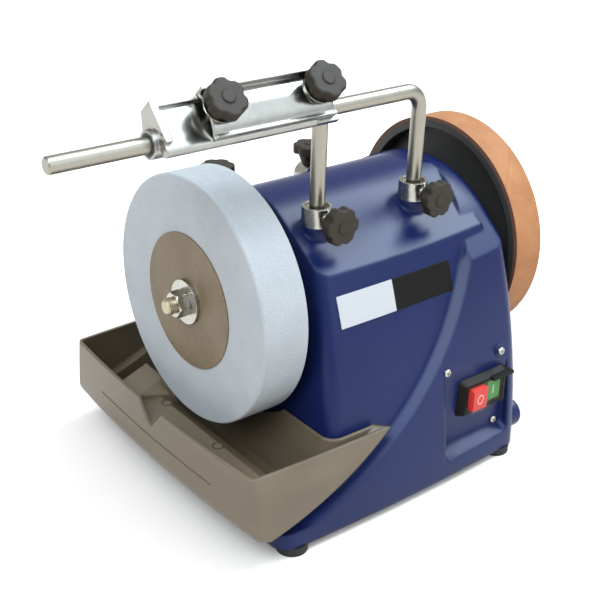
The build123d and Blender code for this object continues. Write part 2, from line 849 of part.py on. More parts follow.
# Honing wheel: dished plastic hub with a leather tyre, its own washer and nut
with BuildPart() as hone_hub:
    cylinder_on(Plane.YZ.offset(x_hone), on_spindle, hone_r - leather_t, hone_w)
    dish_r = hone_r - leather_t - hone_rim_t
    bore_on(Plane.YZ.offset(x_hone), on_spindle, dish_r, hone_dish)
    back = hone_w - hone_dish - hone_web_t
    bore_on(Plane.YZ.offset(x_hone + hone_w - back), on_spindle, dish_r, back)
    hub_left = x_right_bush + bush_l + slip_gap
    cylinder_on(Plane.YZ.offset(hub_left), on_spindle, hone_boss_r, x_hone + hone_w - hub_left)
    bore_on(Plane.YZ.offset(hub_left), on_spindle, shaft_hole_r, x_hone + hone_w - hub_left)
finish(hone_hub, "hone_hub")

with BuildPart() as hone_leather:
    cylinder_on(Plane.YZ.offset(x_hone), on_spindle, hone_r, hone_w)
    bore_on(Plane.YZ.offset(x_hone), on_spindle, hone_r - leather_t + seat_gap, hone_w)
finish(hone_leather, "hone_leather")

with BuildPart() as hone_washer:
    cylinder_on(Plane.YZ.offset(x_hone + hone_w), on_spindle, washer_r, washer_t)
    bore_on(Plane.YZ.offset(x_hone + hone_w), on_spindle, shaft_hole_r, washer_t)
finish(hone_washer, "hone_washer")

hone_nut = hex_nut(x_hone + hone_w + washer_t)
finish(hone_nut, "hone_nut")

# Motor: can, end bells with shaft bores, stator, rotor on its shaft, and the friction roller
with BuildPart() as motor_casing:
    cylinder_on(Plane.YZ.offset(x_can), on_motor, motor_r, motor_can_l)
    bore_on(Plane.YZ.offset(x_can), on_motor, motor_r - motor_wall, motor_can_l)
finish(motor_casing, "motor_casing")

with BuildPart() as motor_bells:
    for x in (x_can - bell_t, x_can + motor_can_l):
        cylinder_on(Plane.YZ.offset(x), on_motor, bell_r, bell_t)
        bore_on(Plane.YZ.offset(x), on_motor, motor_shaft_r + running_fit, bell_t)
        for y, z in motor_screw_places:
            bore_on(Plane.YZ.offset(x), (y, z), m4_hole_r, bell_t)
finish(motor_bells, "motor_bells")

with BuildPart() as motor_stator:
    cylinder_on(Plane.YZ.offset(x_stator), on_motor, motor_r - motor_wall - seat_gap, stator_l)
    bore_on(Plane.YZ.offset(x_stator), on_motor, rotor_r + rotor_gap, stator_l)
finish(motor_stator, "motor_stator")

with BuildPart() as motor_rotor:
    cylinder_on(Plane.YZ.offset(x_roller), on_motor, motor_shaft_r, x_bracket_end - x_roller)
    cylinder_on(Plane.YZ.offset(x_stator), on_motor, rotor_r, stator_l)
finish(motor_rotor, "motor_rotor")

with BuildPart() as drive_roller:
    cylinder_on(Plane.YZ.offset(x_roller), on_motor, roller_r, roller_w)
    bore_on(Plane.YZ.offset(x_roller), on_motor, motor_shaft_r + seat_gap, roller_w)
finish(drive_roller, "drive_roller")

# Motor bracket: folded sheet with two uprights screwed to the end bells
with BuildPart() as motor_bracket:
    bracket_l = x_bracket_end - x_motor
    block_on(Plane.XY.offset(plate_top), (x_motor + bracket_l / 2, 0), bracket_l, bracket_w, bracket_t)
    for x in (x_motor, x_bracket_end - bracket_t):
        height = motor_z - bracket_rise - plate_top
        block_on(Plane.YZ.offset(x), (0, plate_top + height / 2), bracket_w, height, bracket_t)
        for y, z in motor_screw_places:
            bore_on(Plane.YZ.offset(x), (y, z), m4_hole_r, bracket_t)
    for place in motor_foot_places:
        bore_on(Plane.XY.offset(plate_top), place, m4_hole_r, bracket_t)
finish(motor_bracket, "motor_bracket")

motor_planes = [under_plate(place) for place in motor_foot_places]
for y, z in motor_screw_places:
    motor_planes.append(Plane(origin=(x_motor, y, z), z_dir=(-1, 0, 0)))
    motor_planes.append(Plane(origin=(x_bracket_end, y, z), z_dir=(1, 0, 0)))
motor_screws = pan_screws(motor_planes, m4_length)
finish(motor_screws, "motor_screws")

# Run capacitor held down by a strap clip
with BuildPart() as capacitor:
    cylinder_on(Plane.YZ.offset(x_stone + capacitor_x), capacitor_place, capacitor_r, capacitor_l)
    fillet(capacitor.edges(), clip_t)
finish(capacitor, "capacitor")

with BuildPart() as capacitor_clip:
    strap = Plane.YZ.offset(clip_x - clip_w / 2)
    cylinder_on(strap, capacitor_place, clip_r, clip_w)
    ears_w = 2 * (clip_r + clip_ear)
    block_on(strap, (capacitor_y, plate_top + clip_t / 2), ears_w, clip_t, clip_w)
    for place in clip_places:
        bore_on(Plane.XY.offset(plate_top), place, m4_hole_r, clip_t)
    bore_on(strap, capacitor_place, capacitor_r + seat_gap, clip_w)
finish(capacitor_clip, "capacitor_clip")

with BuildPart() as terminal_block:
    block_on(Plane.XY.offset(plate_top), block_place, block_l, block_w, block_h)
    bore_on(Plane.XY.offset(plate_top), block_place, m4_hole_r, block_h)
    for side in (-1, 1):
        way = (block_place[0] + side * block_pitch / 2, plate_top + block_h / 2)
        bore_on(Plane.XZ.offset(-block_y - block_w), way, m4_r, 2 * block_w)
finish(terminal_block, "terminal_block")

small_planes = [Plane(origin=(x, y, plate_top + clip_t)) for x, y in clip_places]
small_planes.append(Plane(origin=(block_place[0], block_place[1], plate_top + block_h)))
with BuildPart() as small_screws:
    for plane in small_planes:
        cylinder_on(plane, (0, 0), m4_head_r, m4_head_h)
        cylinder_on(plane, (0, 0), m4_r, base_bottom - plane.origin.Z - plate_t)
finish(small_screws, "small_screws")

# Switch: enclosure behind the panel, switch body, sloping bezel, buttons and clear cover
with BuildPart() as switch_enclosure:
    seats = recess_front.offset(-2 * wall)
    enclosure_place = (x_stone + switch_screw_x, spindle_height - switch_screw_drop)
    enclosure_w = switch_screw_w + 2 * enclosure_rim
    enclosure_h = switch_screw_h + 2 * enclosure_rim
    block_on(seats, enclosure_place, enclosure_w, enclosure_h, -enclosure_d)
    block_on(
        seats,
        enclosure_place,
        enclosure_w - 2 * enclosure_wall,
        enclosure_h - 2 * enclosure_wall,
        enclosure_wall - enclosure_d,
        mode=Mode.SUBTRACT,
    )
    for place in switch_screw_places:
        cylinder_on(seats, place, post_screw_r, -enclosure_d)
        bore_on(seats, place, m4_hole_r, -m4_length)
finish(switch_enclosure, "switch_enclosure")

switch_screws = pan_screws(
    [Plane(origin=(x, recess_y, z), z_dir=(0, -1, 0)) for x, z in switch_screw_places],
    m4_length,
    head_r=switch_head_r,
)
finish(switch_screws, "switch_screws")

with BuildPart() as switch_body:
    block_on(recess_front, switch_place, switch_box_w, switch_box_h, -switch_box_d)
    for place in (stop_place, start_place):
        block_on(recess_front, place, button_room_w, button_room_h, -button_tail, mode=Mode.SUBTRACT)
finish(switch_body, "switch_body")

with BuildPart() as switch_terminals:
    for side in (-1, 1):
        for level in (-1, 1):
            place = (switch_place[0] + side * button_pitch / 2, switch_place[1] + level * button_h / 2)
            block_on(recess_front.offset(-switch_box_d), place, terminal_w, terminal_t, -terminal_l)
finish(switch_terminals, "switch_terminals")

with BuildPart() as switch_bezel:
    with BuildSketch(recess_front):
        with Locations(switch_place):
            RectangleRounded(bezel_w, bezel_h, bezel_r)
    extrude(amount=bezel_t, taper=bezel_taper)
    block_on(recess_front, switch_place, opening_w, opening_h, bezel_t, mode=Mode.SUBTRACT)
    hood_x = switch_place[0] + (bezel_w - hood_w) / 2 + hood_over
    hood_z = switch_place[1] + (opening_h + hood_t) / 2
    block_on(recess_front, (hood_x, hood_z), hood_w, hood_t, hood_reach)
finish(switch_bezel, "switch_bezel")

with BuildPart() as switch_cover:
    sheet_back = recess_front.offset(start_reach + cover_gap)
    block_on(sheet_back, switch_place, opening_w - 2 * slip_gap, opening_h - 2 * slip_gap, cover_t)
    dome_reach = stop_reach - start_reach
    dome_w = button_w + 2 * cover_gap
    dome_h = button_h + 2 * cover_gap
    block_on(sheet_back, stop_place, dome_w + 2 * cover_t, dome_h + 2 * cover_t, dome_reach + cover_t)
    block_on(sheet_back, stop_place, dome_w, dome_h, dome_reach, mode=Mode.SUBTRACT)
finish(switch_cover, "switch_cover")


def push_button(place, reach):
    """A square button that slides in its well in the switch body."""
    with BuildPart() as button:
        block_on(recess_front.offset(-button_stem), place, button_w, button_h, button_stem + reach)
    return button


stop_button = push_button(stop_place, stop_reach)
finish(stop_button, "stop_button")
start_button = push_button(start_place, start_reach)
finish(start_button, "start_button")

# Name plate: a thin blank sheet that follows the bowed front panel
with BuildPart() as name_plate:
    add(body_form(name_t + seat_gap))
    add(body_form(seat_gap), mode=Mode.SUBTRACT)
    block_on(
        Plane.XZ,
        (x_stone + name_x + name_w / 2, spindle_height + (name_low + name_high) / 2),
        name_w,
        name_high - name_low,
        2 * base_half,
        mode=Mode.INTERSECT,
    )
finish(name_plate, "name_plate")


def trough_form(inset):
    """The trough's outer form, or its hollow when set in by the wall."""
    far_x = x_left + base_half
    corner_x = x_stone + trough_left + inset
    rim_z = trough_rim_z + inset
    floor = Plane.XY.offset(trough_floor_z + inset)
    with BuildPart() as form:
        with BuildSketch(floor):
            with BuildLine():
                ThreePointArc(
                    (corner_x, -base_half - corner_r),
                    (corner_x - trough_bulge, 0),
                    (corner_x, base_half + corner_r),
                )
                Polyline(
                    (corner_x, base_half + corner_r),
                    (far_x, base_half + corner_r),
                    (far_x, -base_half - corner_r),
                    (corner_x, -base_half - corner_r),
                )
            make_face()
        extrude(amount=rim_z - floor.origin.Z)
        low_edges = form.edges().filter_by(lambda e: e.bounding_box().max.Z < floor.origin.Z + slip_gap)
        fillet(low_edges.sort_by(Axis.X)[0], trough_bottom_r - inset)
        add(bowed_slab(trough_proud - inset), mode=Mode.INTERSECT)
        add(arc_form(-trough_lift - inset, -trough_side_gap - inset), mode=Mode.INTERSECT)
        add(body_form(trough_gap + inset), mode=Mode.SUBTRACT)
        tall = form.edges().filter_by(lambda e: e.bounding_box().size.Z > trough_depth / 2)
        at_left = tall.filter_by(lambda e: e.center().X < x_stone)
        left_corners = at_left.filter_by(lambda e: abs(e.center().Y) > base_half / 2)
        fillet(left_corners, trough_corner_r - inset)
    return form.part


# Water trough: an open tray round the left end, cut out for the stone, with a spout, a ledge, a dam
# and a line pressed in its left wall
with BuildPart() as trough_ledge:
    ledge_z = spindle_height - ledge_drop
    with BuildSketch(Plane.XZ.offset(-dam_foot_y[0])):
        with BuildLine():
            Polyline(
                (x_stone + dam_wall_x - trough_bulge, trough_floor_z),
                (x_stone + dam_wall_x - trough_bulge, ledge_z),
                (x_stone + ledge_fold_x, ledge_z),
                (x_stone + ledge_edge_x, ledge_z - ledge_fall),
                (x_stone + ledge_edge_x, trough_floor_z),
                close=True,
            )
        make_face()
    extrude(amount=2 * base_half)
    add(trough_form(trough_wall / 2), mode=Mode.INTERSECT)

with BuildPart() as trough_dam:
    dam_end_x = x_stone + ledge_edge_x
    ridge_z = spindle_height - dam_drop
    ridge_start = Vector(x_stone + dam_ridge_x, dam_ridge_y[0], ridge_z)
    ridge_way = Vector(dam_end_x, dam_ridge_y[1], ridge_z) - ridge_start
    fall_way = Vector(dam_end_x, dam_foot_y[1], ledge_z) - ridge_start
    with BuildSketch(Plane.XY.offset(trough_floor_z)):
        with BuildLine():
            Polyline(
                (x_stone + dam_wall_x, dam_foot_y[0]),
                (dam_end_x, dam_foot_y[1]),
                (dam_end_x, dam_far_y[1]),
                (x_stone + dam_wall_x, dam_far_y[0]),
                close=True,
            )
        make_face()
    extrude(amount=ridge_z - trough_floor_z)
    slope_face = Plane(origin=ridge_start, x_dir=ridge_way, z_dir=fall_way.cross(ridge_way))
    split(bisect_by=slope_face, keep=Keep.BOTTOM)
    add(trough_form(trough_wall / 2), mode=Mode.INTERSECT)

with BuildPart() as trough_line:
    add(trough_form(0))
    add(trough_form(trough_line_depth), mode=Mode.SUBTRACT)
    block_on(
        Plane.XY.offset(spindle_height - trough_line_drop - trough_line_w / 2),
        (x_stone + trough_left, 0),
        2 * trough_bulge + trough_wall,
        trough_line_l,
        trough_line_w,
        mode=Mode.INTERSECT,
    )

with BuildPart() as trough:
    add(trough_form(0))
    add(trough_form(trough_wall), mode=Mode.SUBTRACT)
    add(trough_ledge.part)
    add(trough_dam.part)
    block_on(
        Plane.XY.offset(trough_floor_z),
        (
            x_stone + (ledge_pocket_x + ledge_edge_x - trough_wall) / 2,
            (ledge_pocket_y + dam_foot_y[1]) / 2,
        ),
        ledge_edge_x - trough_wall - ledge_pocket_x,
        dam_foot_y[1] - ledge_pocket_y,
        ledge_z - ledge_fall - trough_wall - trough_floor_z,
        mode=Mode.SUBTRACT,
    )
    bore_on(
        Plane.YZ.offset(x_stone),
        on_spindle,
        stone_r + stone_cut_gap,
        body_left + stone_w,
    )
    with BuildSketch(Plane.YZ.offset(x_stone + dam_wall_x + trough_wall)) as spout:
        with BuildLine():
            Polyline(
                (-spout_w / 2, trough_rim_z),
                (0, trough_rim_z - spout_depth),
                (spout_w / 2, trough_rim_z),
                close=True,
            )
        make_face()
        fillet(spout.vertices().sort_by(Axis.Y)[0], spout_r)
    extrude(amount=-2 * trough_bulge, mode=Mode.SUBTRACT)
    add(trough_line.part, mode=Mode.SUBTRACT)
finish(trough, "trough")

# Universal support: a round bar bent down into one post, with a second post under the arm
with BuildPart() as support_bar:
    bar_end = (x_posts[0] - arm_overhang, bar_y, arm_z)
    bar_foot_z = spindle_height + bar_foot_rise
    with BuildLine() as bar_route:
        bar_corner = (x_posts[1], bar_y, arm_z)
        bar_foot = (x_posts[1], bar_y, bar_foot_z)
        FilletPolyline(bar_end, bar_corner, bar_foot, radius=bar_bend)
    with BuildSketch(Plane(origin=bar_end, z_dir=(1, 0, 0))):
        Circle(bar_r)
    sweep(path=bar_route.line)
    chamfer(support_bar.edges().filter_by(GeomType.CIRCLE).sort_by(Axis.X)[0], spindle_edge)
    cylinder_on(Plane.XY.offset(bar_foot_z), (x_posts[0], bar_y), bar_r, arm_z - bar_foot_z)
finish(support_bar, "support_bar")


def jig_plane(x):
    """Section of the jig at x: local X runs up its slope, local Y stands off the bar."""
    slope = (0, cos(radians(jig_tilt)), sin(radians(jig_tilt)))
    return Plane(origin=(x_stone + x, bar_y, arm_z), x_dir=slope, z_dir=(1, 0, 0))


def jig_stand(x, height):
    """Plane across a jig stud at a height above the bar, facing away from the bar."""
    section = jig_plane(x)
    place = section.from_local_coords((jig_knob_place, height))
    return Plane(origin=place, x_dir=(1, 0, 0), z_dir=section.y_dir)


# Jig base: a plate with two sleeves round the bar, beads along two edges and a lip at the right
with BuildPart() as jig_base:
    plate_place = ((jig_front + jig_back) / 2, jig_top - jig_t / 2)
    block_on(jig_plane(jig_left), plate_place, jig_back - jig_front, jig_t, jig_w)
    nose_edges = jig_base.edges().filter_by(Axis.X).sort_by(Axis.Y)[:2]
    fillet(nose_edges, jig_nose_r)
    bead_y = jig_top + jig_bead_h / 2
    block_on(jig_plane(jig_left), (jig_back - jig_bead_w / 2, bead_y), jig_bead_w, jig_bead_h, jig_w)
    left_bead_w = jig_back - jig_front - 2 * jig_nose_r
    left_bead_place = (jig_back - left_bead_w / 2, bead_y)
    block_on(jig_plane(jig_left), left_bead_place, left_bead_w, jig_bead_h, jig_bead_w)
    lip_place = ((jig_front + jig_lip_back) / 2, jig_top - jig_lip_t / 2)
    block_on(jig_plane(jig_left + jig_w), lip_place, jig_lip_back - jig_front, jig_lip_t, jig_lip_w)
    for x in (sleeve_left_x, sleeve_right_x):
        cylinder_on(jig_plane(x), (0, 0), sleeve_r, sleeve_l)
    with BuildSketch(jig_plane(jig_left)):
        with BuildLine():
            Polyline(
                (0, 0),
                (0, jig_top - jig_t),
                (jig_back, jig_top - jig_t),
                (jig_back, jig_top - jig_t - jig_gusset_t),
                (sleeve_r, -sleeve_r / 2),
                close=True,
            )
        make_face()
    extrude(amount=jig_gusset_t)
    for x in (sleeve_left_x, sleeve_right_x):
        bore_r = bar_bore_r + jig_bush_t + running_fit
        bore_on(jig_plane(x), (0, 0), bore_r, sleeve_l)
    for x in jig_knob_x:
        bore_on(jig_stand(x, jig_top), (0, 0), jig_stud_r + seat_gap, -jig_lip_t)
finish(jig_base, "jig_base")

# Plain bushes between the bar and the jig sleeves
with BuildPart() as jig_bushes:
    for x in (sleeve_left_x, sleeve_right_x):
        cylinder_on(jig_plane(x), (0, 0), bar_bore_r + jig_bush_t, sleeve_l)
        bore_on(jig_plane(x), (0, 0), bar_bore_r, sleeve_l)
finish(jig_bushes, "jig_bushes")

with BuildPart() as jig_studs:
    for x in jig_knob_x:
        cylinder_on(jig_stand(x, jig_top - jig_lip_t), (0, 0), jig_stud_r, jig_stud_l)
finish(jig_studs, "jig_studs")

# Jig clamp: a bent sheet with a turned-up lip, a domed middle over the studs and an upstand along its back
with BuildPart() as jig_clamp:
    crown_h = jig_top + clamp_crown
    tail_h = jig_top + clamp_tail
    toe = (clamp_valley, jig_top + clamp_toe)
    lip_top = (clamp_lip, jig_top + clamp_lip_h)
    valley = (clamp_valley, jig_top + clamp_toe + clamp_t)
    crown_top = (jig_knob_place, crown_h)
    crown_under = (jig_knob_place, crown_h - clamp_t)
    rib_foot = clamp_back - clamp_t
    rib_top = jig_top + clamp_rib_h
    with BuildSketch(jig_plane(clamp_left)):
        with BuildLine():
            Polyline(
                toe,
                (clamp_lip, jig_top + clamp_toe),
                lip_top,
                (clamp_valley - clamp_t / 2, lip_top[1]),
                valley,
            )
            ThreePointArc(valley, crown_top, (rib_foot, tail_h + clamp_t))
            Polyline(
                (rib_foot, tail_h + clamp_t),
                (rib_foot, rib_top),
                (clamp_back, rib_top),
                (clamp_back, tail_h),
                (rib_foot, tail_h),
            )
            ThreePointArc((rib_foot, tail_h), crown_under, toe)
        make_face()
    extrude(amount=clamp_w)
    for x in jig_knob_x:
        bore_on(jig_stand(x, jig_top), (0, 0), jig_stud_r + jig_hole_gap, 2 * jig_top)
finish(jig_clamp, "jig_clamp")

# Washers and star knobs that press the clamp down on the studs
with BuildPart() as jig_washers:
    for x in jig_knob_x:
        washer_start = jig_stand(x, crown_h + seat_gap)
        cylinder_on(washer_start, (0, 0), jig_washer_r, jig_washer_t)
        bore_on(washer_start, (0, 0), jig_stud_r + jig_hole_gap, jig_washer_t)
finish(jig_washers, "jig_washers")

for side, x in zip(("left", "right"), jig_knob_x):
    knob_start = jig_stand(x, crown_h + seat_gap + jig_washer_t + jig_knob_gap)
    jig_knob = star_knob(knob_start, jig_neck_h, jig_stud_r + running_fit, jig_bore_l)
    finish(jig_knob, f"jig_knob_{side}")

# Clamp studs and star knobs on the four collars
for side, x in zip(("left", "right"), x_posts):
    post_tip = Plane(origin=(x, bar_y - bar_r - stud_tip_gap, post_stud_z), z_dir=(0, -1, 0))
    post_reach = collar_r - bar_r - stud_tip_gap + post_knob_gap
    with BuildPart() as post_stud:
        cylinder_on(post_tip, (0, 0), stud_r, post_reach + stud_in_knob)
    finish(post_stud, f"post_stud_{side}")
    post_knob = star_knob(post_tip.offset(post_reach), post_neck_h, stud_hole_r, stud_in_knob)
    finish(post_knob, f"post_knob_{side}")

    rear_tip = Plane(origin=(x, rear_stud_y, rear_z + bar_bore_r + stud_tip_gap), z_dir=(0, 0, 1))
    rear_reach = collar_r - bar_bore_r - stud_tip_gap + rear_knob_gap
    with BuildPart() as rear_stud:
        cylinder_on(rear_tip, (0, 0), stud_r, rear_reach + stud_in_knob)
    finish(rear_stud, f"rear_stud_{side}")
    rear_knob = star_knob(rear_tip.offset(rear_reach), rear_neck_h, stud_hole_r, stud_in_knob)
    finish(rear_knob, f"rear_knob_{side}")
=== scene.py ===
from math import pi, radians
import bpy
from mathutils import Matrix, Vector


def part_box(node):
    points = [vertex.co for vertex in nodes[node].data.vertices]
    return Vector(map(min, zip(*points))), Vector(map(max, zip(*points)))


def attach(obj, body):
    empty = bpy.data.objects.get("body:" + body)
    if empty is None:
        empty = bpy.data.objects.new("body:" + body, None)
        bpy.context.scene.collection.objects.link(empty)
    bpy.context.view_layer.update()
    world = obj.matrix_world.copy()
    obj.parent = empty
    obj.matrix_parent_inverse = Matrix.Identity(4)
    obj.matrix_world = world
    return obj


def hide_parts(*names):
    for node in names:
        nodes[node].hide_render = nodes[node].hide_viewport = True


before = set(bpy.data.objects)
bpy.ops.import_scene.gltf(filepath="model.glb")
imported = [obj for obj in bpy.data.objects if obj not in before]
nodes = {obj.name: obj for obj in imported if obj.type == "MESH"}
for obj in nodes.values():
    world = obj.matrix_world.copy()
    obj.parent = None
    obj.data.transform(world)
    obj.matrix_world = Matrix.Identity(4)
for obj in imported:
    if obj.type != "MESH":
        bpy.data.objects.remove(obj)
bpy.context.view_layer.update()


# Studio: the camera stands where the photograph was taken, in front of the stone and above the bench.
# Four soft white panels, overhead, in front, at the left and at the right, light a plain pale floor.
class Wire:
    """One socket in a shader. Sums and products of wires add Math nodes."""

    def __init__(self, tree, socket):
        self.tree = tree
        self.socket = socket

    def make(self, kind, settings, inputs, output=0):
        node = self.tree.nodes.new(kind)
        for name, value in settings.items():
            setattr(node, name, value)
        for key, value in inputs.items():
            if isinstance(value, Wire):
                self.tree.links.new(value.socket, node.inputs[key])
            else:
                node.inputs[key].default_value = value
        return Wire(self.tree, node.outputs[output])

    def math(self, operation, *values):
        return self.make("ShaderNodeMath", {"operation": operation}, dict(enumerate(values)))

    def __add__(self, other):
        return self.math("ADD", self, other)

    def __sub__(self, other):
        return self.math("SUBTRACT", self, other)

    def __rsub__(self, other):
        return self.math("SUBTRACT", other, self)

    def __mul__(self, other):
        return self.math("MULTIPLY", self, other)

    __radd__ = __add__
    __rmul__ = __mul__

    def towards(self, direction):
        pair = {0: self, 1: direction}
        return self.make("ShaderNodeVectorMath", {"operation": "DOT_PRODUCT"}, pair, 1)

    def axis(self, letter):
        return self.make("ShaderNodeSeparateXYZ", {}, {0: self}, "XYZ".index(letter))

    def noise(self, scale, detail=2.0):
        return self.make("ShaderNodeTexNoise", {}, {"Vector": self, "Scale": scale, "Detail": detail})

    def stretched(self, x, y, z):
        return self.make("ShaderNodeVectorMath", {"operation": "MULTIPLY"}, {0: self, 1: (x, y, z)})

    def between(self, low, high):
        span = {"Value": self, "From Min": low, "From Max": high}
        return self.make("ShaderNodeMapRange", {"interpolation_type": "SMOOTHSTEP"}, span)

    def tint(self, low, high):
        pair = [value if isinstance(value, Wire) else (*value, 1.0) for value in (low, high)]
        return self.make("ShaderNodeMix", {"data_type": "RGBA"}, {0: self, 6: pair[0], 7: pair[1]}, 2)

    def bump(self, strength, distance, edge_radius):
        rounded = self.make("ShaderNodeBevel", {"samples": 4}, {"Radius": edge_radius})
        relief = {"Height": self, "Strength": strength, "Distance": distance, "Normal": rounded}
        return self.make("ShaderNodeBump", {}, relief)


photo_spot = (-0.5013, -0.6463, 0.5460)
photo_turn = (radians(63.468), radians(-1.628), radians(-38.237))
sensor_mm = 36.0
lens_mm = 66.15
bpy.ops.object.select_all(action="DESELECT")
bpy.ops.object.camera_add(location=photo_spot, rotation=photo_turn)
camera = bpy.context.object
camera.data.sensor_width = sensor_mm
camera.data.lens = lens_mm
bpy.context.scene.camera = camera
bpy.context.scene.view_settings.view_transform = "Standard"

surround = bpy.data.worlds.new("studio_surround")
surround.use_nodes = True
outward = Wire(surround.node_tree, surround.node_tree.nodes.new("ShaderNodeTexCoord").outputs["Generated"])


def soft_panel(direction, edge, full, strength):
    """A panel's glow: none outside the cosine at its edge, and its whole strength inside the other cosine."""
    return outward.towards(direction).between(edge, full) * strength


overhead = soft_panel((0.0, 0.0, 1.0), edge=0.60, full=0.95, strength=0.09)
front_panel = soft_panel((0.25, -0.80, 0.55), edge=0.76, full=0.94, strength=0.13)
left_panel = soft_panel((-0.61, -0.24, 0.755), edge=0.90, full=0.975, strength=0.62)
right_panel = soft_panel((0.62, -0.06, 0.78), edge=0.93, full=0.985, strength=1.0)
room_glow = (0.58, 0.58, 0.58)
panel_glow = (11.5, 13.5, 15.0)
soft_pair = overhead.math("MAXIMUM", overhead, front_panel)
hard_pair = left_panel.math("MAXIMUM", left_panel, right_panel)
glow = soft_pair.math("MAXIMUM", soft_pair, hard_pair).tint(room_glow, panel_glow)
surround.node_tree.links.new(glow.socket, surround.node_tree.nodes["Background"].inputs["Color"])
bpy.context.scene.world = surround

floor_size = 30.0
floor_tone = (0.68, 0.61, 0.56, 1.0)
bpy.ops.mesh.primitive_plane_add(size=floor_size)
floor = bpy.context.object
floor.name = "bench_floor"
floor_paint = bpy.data.materials.new("pale_floor")
floor_paint.use_nodes = True
floor_shader = floor_paint.node_tree.nodes["Principled BSDF"]
floor_shader.inputs["Base Color"].default_value = floor_tone
floor_shader.inputs["Roughness"].default_value = 0.9
floor.data.materials.append(floor_paint)


# Housing: one large moulding in blue plastic, satin all over with a very fine spark-eroded texture.
# It is screwed down to the floor plate from below.
def new_finish(name, **constants):
    """A new material, a wire for the place on the piece, and a function that links wires to its shader."""
    material = bpy.data.materials.new(name)
    material.use_nodes = True
    tree = material.node_tree
    shader = tree.nodes["Principled BSDF"]
    for key, value in constants.items():
        shader.inputs[key.replace("_", " ")].default_value = value
    place = Wire(tree, tree.nodes.new("ShaderNodeTexCoord").outputs["Object"])

    def link(**wires):
        for key, wire in wires.items():
            tree.links.new(wire.socket, shader.inputs[key.replace("_", " ")])

    return material, place, link


def dress(material, *names):
    """Give CAD nodes a finish in place of their plain one."""
    for name in names:
        mesh = nodes[name].data
        mesh.materials.clear()
        mesh.materials.append(material)


blue_plastic, place, link = new_finish("blue_moulding", Specular_IOR_Level=0.22)
cloud = place.noise(scale=9.0, detail=3.0)
spark = place.noise(scale=2600.0, detail=2.0)
link(
    Base_Color=cloud.between(0.3, 0.7).tint((0.0034, 0.0080, 0.049), (0.0046, 0.0104, 0.059)),
    Roughness=cloud * 0.05 + spark * 0.07 + 0.26,
    Normal=spark.bump(strength=0.05, distance=0.0002, edge_radius=0.0040),
)
dress(blue_plastic, "housing")


# Floor plate: galvanised sheet under the housing, with the folded motor bracket and the capacitor clip.
# The spangle of the zinc shows as faint flakes.
sheet_steel, place, link = new_finish("galvanised_sheet", Metallic=1.0)
flake = place.make("ShaderNodeTexVoronoi", {}, {"Vector": place, "Scale": 160.0}, 1).axis("X")
link(
    Base_Color=flake.tint((0.46, 0.47, 0.48), (0.62, 0.63, 0.64)),
    Roughness=flake * 0.15 + 0.35,
    Normal=flake.bump(strength=0.05, distance=0.0002, edge_radius=0.0005),
)
dress(sheet_steel, "base_plate", "motor_bracket", "capacitor_clip")


# Rubber feet: moulded black, each on one screw sunk in its middle.
# The tyre of the drive wheel is the same rubber.
black_rubber, place, link = new_finish("foot_rubber", Specular_IOR_Level=0.3)
grain = place.noise(scale=700.0, detail=3.0)
link(
    Base_Color=grain.tint((0.008, 0.008, 0.008), (0.020, 0.019, 0.018)),
    Roughness=grain * 0.2 + 0.6,
    Normal=grain.bump(strength=0.1, distance=0.0003, edge_radius=0.0012),
)
dress(black_rubber, "feet", "drive_tyre")


# Zinc-plated steel: washers, collars, studs and screws, bought in and bright.
# The plating is a little cloudy and the turned parts keep faint rings.
zinc, place, link = new_finish("bright_zinc", Metallic=1.0)
cloudy = place.noise(scale=90.0, detail=3.0)
rings = place.stretched(0.3, 0.3, 1.0).noise(scale=2400.0, detail=2.0)
link(
    Base_Color=cloudy.tint((0.36, 0.34, 0.30), (0.54, 0.52, 0.47)),
    Roughness=cloudy * 0.14 + rings * 0.1 + 0.14,
    Normal=rings.bump(strength=0.05, distance=0.0002, edge_radius=0.0006),
)
dress(
    zinc,
    "stone_washer", "hone_washer", "inner_flange", "post_collars", "rear_collars", "post_stud_left",
    "post_stud_right", "rear_stud_left", "rear_stud_right", "jig_studs", "jig_washers", "base_screws",
    "foot_screws", "motor_screws", "small_screws",
)


# Spindle: turned steel shaft, yellow passivated, with a rolled thread on the end that shows.
# The thread is a helix on the stub outside the nut.
shaft_steel, place, link = new_finish("shaft_steel", Metallic=1.0)
turning = place.stretched(1.0, 0.02, 0.02).noise(scale=3000.0)
link(
    Base_Color=turning.tint((0.34, 0.28, 0.18), (0.52, 0.46, 0.33)),
    Roughness=turning * 0.2 + 0.22,
    Normal=turning.bump(strength=0.05, distance=0.0002, edge_radius=0.0004),
)
dress(shaft_steel, "spindle", "drive_roller")

stub_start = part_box("spindle")[0][0]
stub_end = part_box("stone_nut")[0][0]
axle_z = (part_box("spindle")[0][2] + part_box("spindle")[1][2]) / 2
thread_r = 0.00600
thread_turns = 3
thread_steps = 40
thread_gap = 0.0006
thread_pitch = (stub_end - stub_start - thread_gap) / (thread_turns + 1)
thread_start = stub_start + thread_pitch * 0.6
merge_gap = 0.00001
bpy.ops.object.select_all(action="DESELECT")
bpy.ops.mesh.primitive_circle_add(
    vertices=3,
    radius=thread_pitch / 2,
    fill_type="NOTHING",
    location=(0, 0, thread_r),
    rotation=(pi / 2, 0, 0),
)
stub_thread = bpy.context.object
stub_thread.name = "stub_thread"
bpy.ops.object.transform_apply(location=True, rotation=True, scale=True)
coil = stub_thread.modifiers.new("coil", "SCREW")
coil.axis = "X"
coil.angle = 2 * pi
coil.screw_offset = thread_pitch
coil.iterations = thread_turns
coil.steps = coil.render_steps = thread_steps
bpy.ops.object.modifier_apply(modifier="coil")
stub_thread.location = (thread_start, 0, axle_z)
bpy.ops.object.transform_apply(location=True, rotation=False, scale=False)
bpy.ops.object.mode_set(mode="EDIT")
bpy.ops.mesh.select_all(action="SELECT")
bpy.ops.mesh.remove_doubles(threshold=merge_gap)
